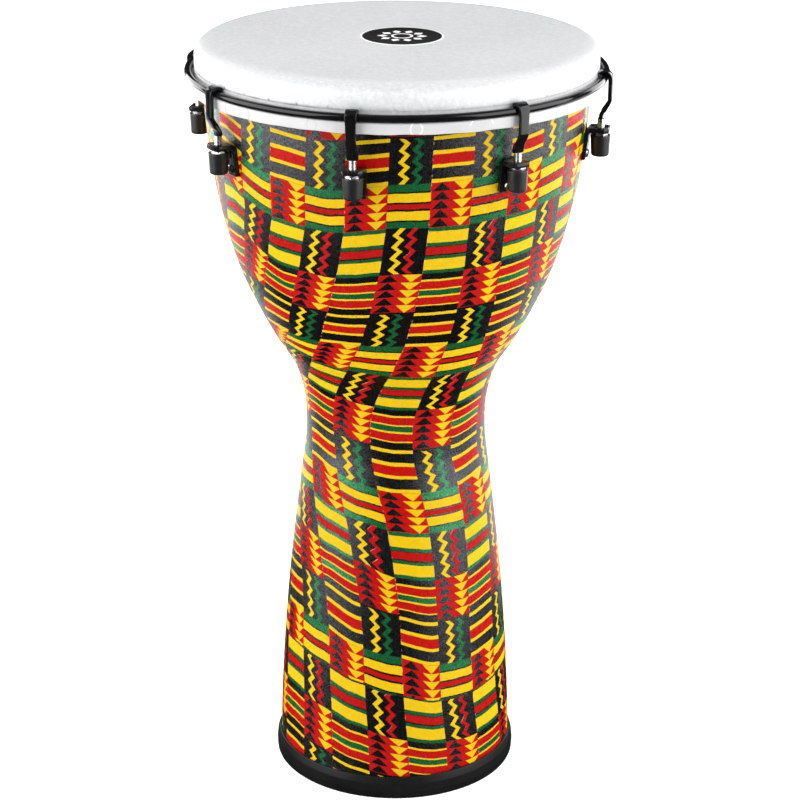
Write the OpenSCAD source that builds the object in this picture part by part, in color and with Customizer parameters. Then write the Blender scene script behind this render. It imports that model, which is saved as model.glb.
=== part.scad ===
// Hand drum with a waisted goblet shell, a rod-and-hook tensioned film head and a rubber foot.
// Millimetres. +Z up, origin at the centre of the foot's resting face. One tension lug faces -Y.

/* [Overall] */
// Height from the resting face to the playing surface
height = 612; // [592:5:642]
// Nominal diameter of the head, a little over the shell's rim
head_d = 306; // [302:1:314]
// Outside diameter of the waist
neck_d = 145.6; // [138:0.4:156]
// Outside diameter of the shell at the foot
foot_d = 193.2; // [180:0.4:204]
// Shell wall, measured square to the surface
wall = 5; // [4:0.5:6]

/* [Head and hoop] */
// Film thickness
film_t = 0.6; // [0.4:0.1:1]
// Diameter of the printed disc on the film
badge_d = 65; // [40:1:80]
// Diameter of the counter hoop's round bar
hoop_bar_d = 6; // [5:0.5:6.5]

/* [Tension hardware] */
// Thickness of the hook's flat bar
hook_t = 3.2; // [2.8:0.1:3.4]
// Width of the hook's flat bar
hook_w = 7.8; // [7:0.2:8.6]
// Outside diameter of the threaded rod
rod_d = 5.9; // [5.5:0.1:6.3]
// Across flats of the tuning nut
nut_af = 10; // [9.6:0.2:10.4]
// Height of the tuning nut
nut_h = 10; // [8:0.5:11]
// Outside diameter of the nut cap at its mouth
cap_d = 15.6; // [15:0.2:16]
// Height of the nut cap
cap_h = 16.5; // [15:0.5:17]

/* [Lug bracket] */
// Width of the bracket
bracket_w = 16; // [14:0.5:18]
// Thickness of the flange that carries the rod
flange_t = 3.8; // [3:0.2:4.4]
// Thickness of the back plate
plate_t = 3; // [2.6:0.1:3.4]

/* [Foot] */
// Height of the rubber ring's outer lip
ring_h = 18.6; // [15:0.2:20]
// Thickness of rubber under the shell's edge
ring_floor = 4; // [3:0.5:5]
// Thickness of the rubber lip outside the shell
ring_lip = 3.8; // [3:0.1:4.4]

/* [Hidden] */
$fn = 96;
lugs = 8;
crown_r = head_d / 2;
neck_z = 0.4904 * height;
rim_z = height - film_t - 1;
rim_r = crown_r - film_t - 0.45;
foot_r = foot_d / 2;
foot_z = 20;

// the bowl's swell from waist (0) to rim (1): height fraction, radius fraction
bowl = [[0, 0], [0.05, 0.006], [0.1, 0.038], [0.165, 0.12], [0.245, 0.31], [0.33, 0.482],
        [0.425, 0.646], [0.525, 0.767], [0.62, 0.856], [0.72, 0.922], [0.82, 0.963], [0.91, 0.985], [1, 1]];
// the stem's flare from waist (0) to foot (1)
stem = [[0, 0], [0.04, 0.008], [0.09, 0.07], [0.18, 0.213], [0.3, 0.383], [0.395, 0.515], [0.5, 0.645],
        [0.61, 0.762], [0.715, 0.852], [0.82, 0.925], [0.93, 0.98], [1, 1]];

// slope at a station, limited so that the curve never overshoots
function chord(c, i) = (c[i + 1][1] - c[i][1]) / (c[i + 1][0] - c[i][0]);
function slope(c, i) = i == 0 ? 0 : i == len(c) - 1 ? chord(c, i - 1) * 0.6
    : 2 / (1 / max(chord(c, i - 1), 1e-4) + 1 / max(chord(c, i), 1e-4));
function span(c, t, i = 0) = i >= len(c) - 2 || t < c[i + 1][0] ? i : span(c, t, i + 1);
function hermite(c, i, t) = let(h = c[i + 1][0] - c[i][0], s = (t - c[i][0]) / h)
    (2 * s * s * s - 3 * s * s + 1) * c[i][1] + (s * s * s - 2 * s * s + s) * h * slope(c, i)
    + (3 * s * s - 2 * s * s * s) * c[i + 1][1] + (s * s * s - s * s) * h * slope(c, i + 1);
function curve(c, t) = hermite(c, span(c, t), t);
// outside radius of the shell at height z
function shell_r(z) = z <= foot_z ? foot_r
    : z < neck_z ? neck_d / 2 + (foot_r - neck_d / 2) * curve(stem, (neck_z - z) / (neck_z - foot_z))
    : neck_d / 2 + (rim_r - neck_d / 2) * curve(bowl, min(1, (z - neck_z) / (rim_z - 5.05 - neck_z)));
function lean(z) = (shell_r(z + 1) - shell_r(z - 1)) / 2;
function inner_r(z) = shell_r(z) - wall * sqrt(1 + lean(z) * lean(z));

// head, hoop and lug stations
hoop_r = crown_r + 8.7;
hoop_z = height - 23.2;
bar_r = hoop_bar_d / 2;
collar_r = crown_r + 3.8;
crown_in = 18;
crown_drop = 10;
rod_pos = crown_r + 7;
flange_top = height - 61.4;
flange_z = flange_top - flange_t;
plate_z = height - 87;
washer_t = 1;
nut_top = flange_z - washer_t - 0.1;
cap_top = flange_z - 2.4;
cap_z = cap_top - cap_h;
hook_end = height - 54.8;
rod_end = cap_z + 3.7;
low_screw_z = height - 82.6;
top_screw_z = height - 69.6;
// distance from the rod's axis to the shell's face, negative is inward
function seat_x(z) = shell_r(z) - rod_pos;
// where the dome screws' heads sit on the brackets
function head_seat_x() = seat_x(low_screw_z) + plate_t - 0.3;

// carries a lug's part from the +X side to lug n
module at_lug(n) { rotate([0, 0, -90 + (n - 1) * 360 / lugs]) children(); }
// the same, with the origin moved to the rod's axis
module at_rod(n) { at_lug(n) translate([rod_pos, 0, 0]) children(); }
// a shaft along +X from x0 to x1
module along_x(x0, x1, r, z) { translate([x0, 0, z]) rotate([0, 90, 0]) cylinder(r = r, h = x1 - x0, $fn = 48); }

// goblet shell with a rolled bearing edge and two screw holes at each lug
module shell() {
    step = 7;
    low = ring_floor;
    high = rim_z - 5.05;
    edge = 4.2;
    n = ceil((high - low) / step);
    zs = [for (i = [0:n]) low + (high - low) * i / n];
    color([0.13, 0.12, 0.13]) difference() {
        rotate_extrude($fn = 180) polygon(concat(
            [for (z = zs) [shell_r(z), z]],
            [for (a = [0:7.5:90]) [rim_r - edge + edge * cos(a), rim_z - edge + edge * sin(a)]],
            [[rim_r - wall - 0.1, rim_z - 1.6]],
            [for (i = [n:-1:0]) [inner_r(zs[i]), zs[i]]]));
        for (k = [1:lugs], z = [low_screw_z, top_screw_z])
            at_lug(k) along_x(rim_r - 30, rim_r + 10, 2.7, z);
    }
}

// moulded rubber channel under the shell's edge
module foot_ring() {
    in_r = foot_r - wall;
    color([0.06, 0.06, 0.06]) rotate_extrude($fn = 180) polygon([
        [in_r - 2.6, 0], [foot_r + ring_lip - 1.2, 0], [foot_r + ring_lip - 0.3, 0.6],
        [foot_r + ring_lip, 1.8], [foot_r + ring_lip, 6], [foot_r + ring_lip - 0.5, ring_h - 6],
        [foot_r + ring_lip - 1.6, ring_h - 2], [foot_r + 0.8, ring_h], [foot_r + 0.02, ring_h],
        [foot_r + 0.02, ring_floor - 0.01], [in_r - 0.02, ring_floor - 0.01],
        [in_r - 0.02, ring_h - 7], [in_r - 1.6, ring_h - 7], [in_r - 2.6, ring_h - 8.5]]);
}

// film head: flat playing surface, a crown that bends slowly at first, and the collar
module head_film() {
    cx = collar_r - crown_in;
    cz = height - crown_drop;
    low = hoop_z - 11.4;
    color([0.93, 0.94, 0.95]) rotate_extrude($fn = 180) polygon(concat(
        [[0, height - film_t], [0, height]],
        [for (a = [90:-5:0]) [cx + crown_in * pow(cos(a), 0.8), cz + crown_drop * pow(sin(a), 0.8)]],
        [[collar_r, hoop_z - 1], [collar_r + 0.2, low], [collar_r + 0.2 - film_t, low],
         [collar_r - film_t, hoop_z - 1]],
        [for (a = [0:5:90]) [cx + (crown_in - film_t) * pow(cos(a), 0.8), cz + (crown_drop - film_t) * pow(sin(a), 0.8)]]));
}

// ring that grips the film's edge and carries the counter hoop
module flesh_hoop() {
    top = hoop_z - bar_r - 0.05;
    low = hoop_z - 12;
    color([0.9, 0.9, 0.9]) rotate_extrude($fn = 180) polygon([
        [collar_r + 0.3, low], [hoop_r - 1.4, low], [hoop_r - 0.5, low + 0.8], [hoop_r + 0.6, top - 1],
        [hoop_r + 0.2, top - 0.2], [hoop_r - 0.2, top], [collar_r + 0.5, top], [collar_r + 0.3, top - 0.4]]);
}

// thin printed disc a little off the head's centre
module head_badge() {
    color([0.05, 0.05, 0.05]) rotate([0, 0, 11.4]) translate([3.8, 6.5, height])
        cylinder(d = badge_d, h = 0.2, $fn = 120);
}

// round bar rolled into a ring
module counter_hoop() {
    color([0.04, 0.04, 0.04]) rotate_extrude($fn = 180)
        translate([hoop_r, hoop_z]) circle(r = bar_r, $fn = 32);
}

// flat bar bent over the hoop, run down outside it and cranked inward to the rod
module hook(n) {
    cx = hoop_r - rod_pos;
    ri = bar_r + 0.15;
    ro = ri + hook_t;
    bend = hook_end + 14;
    end_t = 5.4;
    color([0.05, 0.05, 0.05]) at_rod(n) difference() {
        intersection() {
            union() {
                translate([cx, 0, hoop_z]) rotate([90, 0, 0])
                    rotate_extrude(angle = 138, $fn = 64) translate([ri, -6]) square([hook_t, 12]);
                translate([cx + ri, -6, bend]) cube([hook_t, 12, hoop_z - bend + 0.05]);
                translate([0, 6, 0]) rotate([90, 0, 0]) linear_extrude(12) polygon([
                    [cx + ri, bend], [cx + ro, bend], [cx + ro, bend - 0.6], [end_t / 2, hook_end + 2.4],
                    [end_t / 2, hook_end], [-end_t / 2, hook_end], [-end_t / 2, hook_end + 3.4]]);
            }
            rotate([90, 0, 90]) translate([0, 0, -20]) linear_extrude(40) polygon(concat(
                [for (s = [1]) [2.9, hook_end - 1]], [[3, hook_end + 1], [hook_w / 2, bend - 4], [hook_w / 2, hoop_z - 4],
                [hook_w / 2 + 0.8, hoop_z + 3], [hook_w / 2 + 0.8, hoop_z + 20]],
                [[-hook_w / 2 - 0.8, hoop_z + 20], [-hook_w / 2 - 0.8, hoop_z + 3], [-hook_w / 2, hoop_z - 4],
                [-hook_w / 2, bend - 4], [-3, hook_end + 1], [-2.9, hook_end - 1]]));
        }
        translate([0, 0, hook_end - 1]) cylinder(r = 1.8, h = 4, $fn = 32);
    }
}

// plain-shanked stand-in for the threaded rod, with a spigot up into the hook
module tension_rod(n) {
    color([0.8, 0.8, 0.82]) at_rod(n) union() {
        translate([0, 0, rod_end + 0.7]) cylinder(d = rod_d, h = hook_end - 0.02 - rod_end - 0.7, $fn = 48);
        translate([0, 0, rod_end]) cylinder(d1 = rod_d - 1.4, d2 = rod_d, h = 0.7, $fn = 48);
        translate([0, 0, hook_end - 1]) cylinder(r = 1.78, h = 3.9, $fn = 32);
    }
}

// cast lug: horizontal flange with clipped corners, rounded heel and a plate seated on the shell
module bracket(n) {
    out = 7;
    clip = 3.4;
    heel = 4;
    half = bracket_w / 2;
    back_top = seat_x(flange_top);
    face_top = seat_x(flange_z) + plate_t;
    face_low = seat_x(plate_z) + plate_t;
    color([0.05, 0.05, 0.05]) difference() {
        at_rod(n) difference() {
            union() {
                // flange
                intersection() {
                    translate([0, 0, flange_z]) linear_extrude(flange_t) polygon([
                        [-20, -half], [out - clip, -half], [out, -half + 2.6], [out, half - 2.6],
                        [out - clip, half], [-20, half]]);
                    // soft upper and lower edges on the nose
                    rotate([90, 0, 0]) translate([0, 0, -20]) linear_extrude(40) polygon([
                        [-20, flange_z - 1], [out - 0.7, flange_z - 1], [out - 0.7, flange_z], [out, flange_z + 0.7],
                        [out, flange_top - 0.8], [out - 0.8, flange_top], [back_top + heel, flange_top],
                        [back_top + heel * 0.62, flange_top - heel * 0.075],
                        [back_top + heel * 0.29, flange_top - heel * 0.29],
                        [back_top + heel * 0.075, flange_top - heel * 0.62], [back_top - 0.4, flange_top - heel],
                        [-20, flange_top - heel]]);
                }
                // plate, following the shell's lean
                translate([0, half, 0]) rotate([90, 0, 0]) linear_extrude(bracket_w) polygon([
                    [-20, plate_z], [face_low - 0.6, plate_z], [face_low, plate_z + 0.6],
                    [face_top, flange_z - 1.2], [face_top + 1.2, flange_z], [face_top + 1.2, flange_z + 0.4],
                    [back_top, flange_z + 0.4], [-20, flange_z + 0.4]]);
            }
            // rod clearance
            translate([0, 0, flange_z - 1]) cylinder(d = rod_d + 0.7, h = flange_t + 2, $fn = 48);
            // rounded lower corners of the plate
            for (s = [-1, 1]) translate([-22, s * half, plate_z]) rotate([45, 0, 0])
                cube([40, 1.6, 1.6], center = true);
            // dome screw hole and the spot face under its head
            along_x(-30, 0, 2.7, low_screw_z);
            along_x(head_seat_x(), 6, 4.2, low_screw_z);
            along_x(-30, -3, 2.7, top_screw_z);
            // countersink
            translate([seat_x(top_screw_z) + plate_t - 2.3, 0, top_screw_z]) rotate([0, 90, 0])
                cylinder(r1 = 2.7, r2 = 5, h = 2.3, $fn = 48);
            translate([seat_x(top_screw_z) + plate_t - 0.01, 0, top_screw_z]) rotate([0, 90, 0])
                cylinder(r = 5, h = 3, $fn = 48);
        }
        // seat: everything inside the shell's outer face is cut away
        rotate_extrude($fn = 180) polygon(concat(
            [[100, plate_z - 4]],
            [for (i = [0:5]) let(z = plate_z - 4 + (flange_top + 8 - plate_z) * i / 5) [shell_r(z) + 0.03, z]],
            [[100, flange_top + 4]]));
    }
}

// long hexagon nut that turns on the rod under the flange
module tuning_nut(n) {
    color([0.8, 0.8, 0.82]) at_rod(n) difference() {
        intersection() {
            translate([0, 0, nut_top - nut_h]) cylinder(d = nut_af / cos(30), h = nut_h, $fn = 6);
            // chamfered ends
            union() {
                translate([0, 0, nut_top - 0.7]) cylinder(r1 = nut_af / 2 / cos(30) + 0.05, r2 = nut_af / 2 - 0.1, h = 0.7, $fn = 48);
                translate([0, 0, nut_top - nut_h + 0.7]) cylinder(r = nut_af / 2 / cos(30) + 0.05, h = nut_h - 1.4, $fn = 48);
                translate([0, 0, nut_top - nut_h]) cylinder(r1 = nut_af / 2 - 0.1, r2 = nut_af / 2 / cos(30) + 0.05, h = 0.7, $fn = 48);
            }
        }
        translate([0, 0, nut_top - nut_h - 1]) cylinder(d = rod_d + 0.1, h = nut_h + 2, $fn = 48);
    }
}

// push-on cap over the nut and the rod's end, with a hexagonal socket
module nut_cap(n) {
    r1 = cap_d / 2;
    r0 = r1 - 0.8;
    color([0.07, 0.07, 0.07]) at_rod(n) difference() {
        rotate_extrude($fn = 96) polygon([
            [0, cap_z], [r0 - 1.6, cap_z], [r0 - 0.9, cap_z + 0.2], [r0 - 0.35, cap_z + 0.65], [r0, cap_z + 1.5],
            [r1, cap_top - 0.7], [r1 - 0.2, cap_top - 0.2], [r1 - 0.7, cap_top], [0, cap_top]]);
        translate([0, 0, cap_z + 2.2]) cylinder(d = (nut_af + 0.2) / cos(30), h = cap_h, $fn = 6);
    }
}

module rod_washers() {
    color([0.75, 0.75, 0.77]) for (k = [1:lugs]) at_rod(k) difference() {
        translate([0, 0, flange_z - washer_t]) cylinder(r = 5.9, h = washer_t - 0.01, $fn = 48);
        translate([0, 0, flange_z - washer_t - 1]) cylinder(d = rod_d + 0.7, h = washer_t + 2, $fn = 48);
    }
}

// lower bracket screws: domed head outside, shank through plate and wall
module dome_screws() {
    x = head_seat_x() + 0.02;
    x_in = inner_r(low_screw_z) - rod_pos;
    color([0.8, 0.8, 0.82]) for (k = [1:lugs]) at_rod(k) union() {
        translate([x, 0, low_screw_z]) rotate([0, 90, 0]) rotate_extrude($fn = 48) polygon([
            [0, 0], [3.9, 0], [3.9, 0.5], [3.6, 1.1], [2.9, 1.7], [1.8, 2.1], [0, 2.3]]);
        along_x(x_in - 6.6, x, 2.45, low_screw_z);
    }
}

// upper bracket screws: countersunk, flush with the plate
module flat_screws() {
    x = seat_x(top_screw_z) + plate_t;
    x_in = inner_r(top_screw_z) - rod_pos;
    color([0.1, 0.1, 0.1]) for (k = [1:lugs]) at_rod(k) union() {
        translate([x - 2.2, 0, top_screw_z]) rotate([0, 90, 0]) cylinder(r1 = 2.45, r2 = 4.6, h = 2.15, $fn = 48);
        along_x(x_in - 6.6, x - 2.2, 2.45, top_screw_z);
    }
}

module inner_washers() {
    color([0.7, 0.7, 0.72]) for (k = [1:lugs], z = [low_screw_z, top_screw_z]) at_rod(k) difference() {
        along_x(inner_r(z) - rod_pos - 1.6, inner_r(z) - rod_pos - 0.6, 5.2, z);
        along_x(inner_r(z) - rod_pos - 3, inner_r(z) - rod_pos + 1, 2.6, z);
    }
}

module inner_nuts() {
    color([0.7, 0.7, 0.72]) for (k = [1:lugs], z = [low_screw_z, top_screw_z]) at_rod(k) difference() {
        translate([inner_r(z) - rod_pos - 5.7, 0, z]) rotate([0, 90, 0]) cylinder(d = 8 / cos(30), h = 4, $fn = 6);
        along_x(inner_r(z) - rod_pos - 7, inner_r(z) - rod_pos, 2.46, z);
    }
}

shell();
foot_ring();
head_film();
flesh_hoop();
head_badge();
counter_hoop();
hook(1);  // hook_1
hook(2);  // hook_2
hook(3);  // hook_3
hook(4);  // hook_4
hook(5);  // hook_5
hook(6);  // hook_6
hook(7);  // hook_7
hook(8);  // hook_8
tension_rod(1);  // tension_rod_1
tension_rod(2);  // tension_rod_2
tension_rod(3);  // tension_rod_3
tension_rod(4);  // tension_rod_4
tension_rod(5);  // tension_rod_5
tension_rod(6);  // tension_rod_6
tension_rod(7);  // tension_rod_7
tension_rod(8);  // tension_rod_8
bracket(1);  // bracket_1
bracket(2);  // bracket_2
bracket(3);  // bracket_3
bracket(4);  // bracket_4
bracket(5);  // bracket_5
bracket(6);  // bracket_6
bracket(7);  // bracket_7
bracket(8);  // bracket_8
tuning_nut(1);  // tuning_nut_1
tuning_nut(2);  // tuning_nut_2
tuning_nut(3);  // tuning_nut_3
tuning_nut(4);  // tuning_nut_4
tuning_nut(5);  // tuning_nut_5
tuning_nut(6);  // tuning_nut_6
tuning_nut(7);  // tuning_nut_7
tuning_nut(8);  // tuning_nut_8
nut_cap(1);  // nut_cap_1
nut_cap(2);  // nut_cap_2
nut_cap(3);  // nut_cap_3
nut_cap(4);  // nut_cap_4
nut_cap(5);  // nut_cap_5
nut_cap(6);  // nut_cap_6
nut_cap(7);  // nut_cap_7
nut_cap(8);  // nut_cap_8
rod_washers();
dome_screws();
flat_screws();
inner_washers();
inner_nuts();
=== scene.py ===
import math

import bmesh
import bpy
import numpy as np
from mathutils import Euler, Matrix, Vector


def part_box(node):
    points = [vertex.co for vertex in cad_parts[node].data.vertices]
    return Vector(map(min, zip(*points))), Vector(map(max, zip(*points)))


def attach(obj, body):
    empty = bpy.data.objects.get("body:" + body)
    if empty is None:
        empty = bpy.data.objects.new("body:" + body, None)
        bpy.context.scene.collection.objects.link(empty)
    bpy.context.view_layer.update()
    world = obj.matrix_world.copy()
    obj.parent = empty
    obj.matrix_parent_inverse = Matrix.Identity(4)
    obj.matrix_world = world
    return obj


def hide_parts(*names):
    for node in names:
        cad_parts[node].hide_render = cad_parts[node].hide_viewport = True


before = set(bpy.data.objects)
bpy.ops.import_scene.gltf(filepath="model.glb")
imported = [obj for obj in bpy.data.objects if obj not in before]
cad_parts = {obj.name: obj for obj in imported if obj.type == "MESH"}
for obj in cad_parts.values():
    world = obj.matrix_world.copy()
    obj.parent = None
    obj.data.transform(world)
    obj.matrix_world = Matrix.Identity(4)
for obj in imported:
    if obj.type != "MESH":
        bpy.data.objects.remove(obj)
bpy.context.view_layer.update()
scene = bpy.context.scene
MM = 0.001
LUGS = range(1, 9)

# ---------------------------------------------------------------- the CAD's own stations, in metres
HEIGHT = 0.612
CROWN_R = 0.153
FILM_T = 0.0006
NECK_Z = 0.4904 * HEIGHT
RIM_Z = HEIGHT - FILM_T - 0.001
RIM_R = CROWN_R - FILM_T - 0.00045
NECK_R = 0.0728
FOOT_R = 0.0966
WALL = 0.005
RING_FLOOR = 0.004
HOOP_R = CROWN_R + 0.0087
HOOP_Z = HEIGHT - 0.0232
BAR_R = 0.003
COLLAR_R = CROWN_R + 0.0038
CROWN_IN, CROWN_DROP = 0.018, 0.010
ROD_POS = CROWN_R + 0.007
FLANGE_TOP = HEIGHT - 0.0614
FLANGE_Z = FLANGE_TOP - 0.0038
CAP_TOP = FLANGE_Z - 0.0024
CAP_Z = CAP_TOP - 0.0165
HOOK_END = HEIGHT - 0.0548
ROD_END = CAP_Z + 0.0037
VIEW_AZ = 11.37  # where the photograph's camera stands, degrees round from -Y towards +X

BOWL = [(0, 0), (0.05, 0.006), (0.1, 0.038), (0.165, 0.12), (0.245, 0.31), (0.33, 0.482),
        (0.425, 0.646), (0.525, 0.767), (0.62, 0.856), (0.72, 0.922), (0.82, 0.963), (0.91, 0.985), (1, 1)]
STEM = [(0, 0), (0.04, 0.008), (0.09, 0.07), (0.18, 0.213), (0.3, 0.383), (0.395, 0.515), (0.5, 0.645),
        (0.61, 0.762), (0.715, 0.852), (0.82, 0.925), (0.93, 0.98), (1, 1)]


def curve(c, t):
    n = len(c)
    i = 0
    while i < n - 2 and t >= c[i + 1][0]:
        i += 1

    def chord(k):
        return (c[k + 1][1] - c[k][1]) / (c[k + 1][0] - c[k][0])

    def slope(k):
        if k == 0:
            return 0.0
        if k == n - 1:
            return chord(k - 1) * 0.6
        return 2 / (1 / max(chord(k - 1), 1e-4) + 1 / max(chord(k), 1e-4))

    h = c[i + 1][0] - c[i][0]
    s = (t - c[i][0]) / h
    return ((2 * s**3 - 3 * s * s + 1) * c[i][1] + (s**3 - 2 * s * s + s) * h * slope(i)
            + (3 * s * s - 2 * s**3) * c[i + 1][1] + (s**3 - s * s) * h * slope(i + 1))


def shell_r(z):
    if z <= 0.020:
        return FOOT_R
    if z < NECK_Z:
        return NECK_R + (FOOT_R - NECK_R) * curve(STEM, (NECK_Z - z) / (NECK_Z - 0.020))
    return NECK_R + (RIM_R - NECK_R) * curve(BOWL, min(1.0, (z - NECK_Z) / (RIM_Z - 0.00505 - NECK_Z)))


def inner_r(z):
    d = (shell_r(z + 0.001) - shell_r(z - 0.001)) / 0.002
    return shell_r(z) - WALL * math.sqrt(1 + d * d)


# ---------------------------------------------------------------- mesh helpers
def new_object(name, verts, faces, smooth=True):
    me = bpy.data.meshes.new(name)
    me.from_pydata([tuple(map(float, v)) for v in verts], [], [tuple(map(int, f)) for f in faces])
    me.update()
    if smooth:
        me.polygons.foreach_set("use_smooth", [True] * len(me.polygons))
    ob = bpy.data.objects.new(name, me)
    scene.collection.objects.link(ob)
    return ob


def sharpen(ob, degrees):
    ob.data.polygons.foreach_set("use_smooth", [True] * len(ob.data.polygons))
    ob.data.set_sharp_from_angle(angle=math.radians(degrees))


def tidy(ob):
    """Outward normals and no doubled points."""
    bm = bmesh.new()
    bm.from_mesh(ob.data)
    bmesh.ops.remove_doubles(bm, verts=bm.verts, dist=1e-7)
    bmesh.ops.recalc_face_normals(bm, faces=bm.faces)
    bm.to_mesh(ob.data)
    bm.free()
    ob.data.update()


def revolve(name, profile, segs, closed=True):
    """A ring or a solid from (r, z) points. Points with r = 0 become one vertex."""
    verts, rows = [], []
    ang = np.linspace(0, 2 * math.pi, segs, endpoint=False)
    for r, z in profile:
        if r < 1e-9:
            rows.append([len(verts)])
            verts.append((0, 0, z))
        else:
            rows.append(list(range(len(verts), len(verts) + segs)))
            verts += [(r * math.cos(a), r * math.sin(a), z) for a in ang]
    faces = []
    pairs = list(zip(rows, rows[1:])) + ([(rows[-1], rows[0])] if closed else [])
    for a, b in pairs:
        if len(a) == 1 and len(b) == 1:
            continue
        for i in range(segs):
            j = (i + 1) % segs
            if len(a) == 1:
                faces.append((a[0], b[i], b[j]))
            elif len(b) == 1:
                faces.append((a[i], b[0], a[j]))
            else:
                faces.append((a[i], b[i], b[j], a[j]))
    ob = new_object(name, verts, faces)
    tidy(ob)
    return ob


def arc(cx, cz, r, a0, a1, n):
    return [(cx + r * math.cos(math.radians(a0 + (a1 - a0) * i / n)),
             cz + r * math.sin(math.radians(a0 + (a1 - a0) * i / n))) for i in range(n + 1)]


def rounded(points, radii, n=6):
    """A closed outline with its corners rounded."""
    out = []
    m = len(points)
    for i in range(m):
        p = np.array(points[i], float)
        a = np.array(points[i - 1], float) - p
        b = np.array(points[(i + 1) % m], float) - p
        la, lb = np.linalg.norm(a), np.linalg.norm(b)
        r = radii[i] if isinstance(radii, (list, tuple)) else radii
        if r <= 0:
            out.append(tuple(p))
            continue
        a, b = a / la, b / lb
        half = math.acos(max(-1, min(1, float(a @ b)))) / 2
        d = min(r / math.tan(half), la * 0.49, lb * 0.49) if half > 1e-3 else 0
        for k in range(n + 1):
            t = k / n
            out.append(tuple(p + a * d * (1 - t) ** 2 + b * d * t**2))
    return out


def lug_matrix(k):
    a = math.radians(-90 + (k - 1) * 45)
    return Matrix.Rotation(a, 4, "Z") @ Matrix.Translation((ROD_POS, 0, 0))


def lug_copies(master, stem):
    """One copy of a lug's part at each lug, its place in its mesh. The master goes away."""
    made = []
    for k in LUGS:
        me = master.data.copy()
        me.transform(lug_matrix(k))
        ob = bpy.data.objects.new(f"{stem}_{k}", me)
        scene.collection.objects.link(ob)
        made.append(ob)
    bpy.data.objects.remove(master)
    return made


def refined(node, name, width, segments=3, angle=30, flat=2.0):
    """A copy of a CAD node with its edges eased by a bevel."""
    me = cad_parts[node].data.copy()
    me.materials.clear()
    ob = bpy.data.objects.new(name, me)
    scene.collection.objects.link(ob)
    bm = bmesh.new()
    bm.from_mesh(me)
    bmesh.ops.remove_doubles(bm, verts=bm.verts, dist=2e-6)
    bmesh.ops.dissolve_limit(bm, angle_limit=math.radians(flat), verts=bm.verts, edges=bm.edges)
    bm.to_mesh(me)
    bm.free()
    mod = ob.modifiers.new("ease", "BEVEL")
    mod.width = width
    mod.segments = segments
    mod.limit_method = "ANGLE"
    mod.angle_limit = math.radians(angle)
    mod.use_clamp_overlap = True
    mod.miter_outer = "MITER_ARC"
    dg = bpy.context.evaluated_depsgraph_get()
    done = bpy.data.meshes.new_from_object(ob.evaluated_get(dg))
    ob.modifiers.clear()
    old = ob.data
    ob.data = done
    bpy.data.meshes.remove(old)
    sharpen(ob, 38)
    return ob


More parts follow.
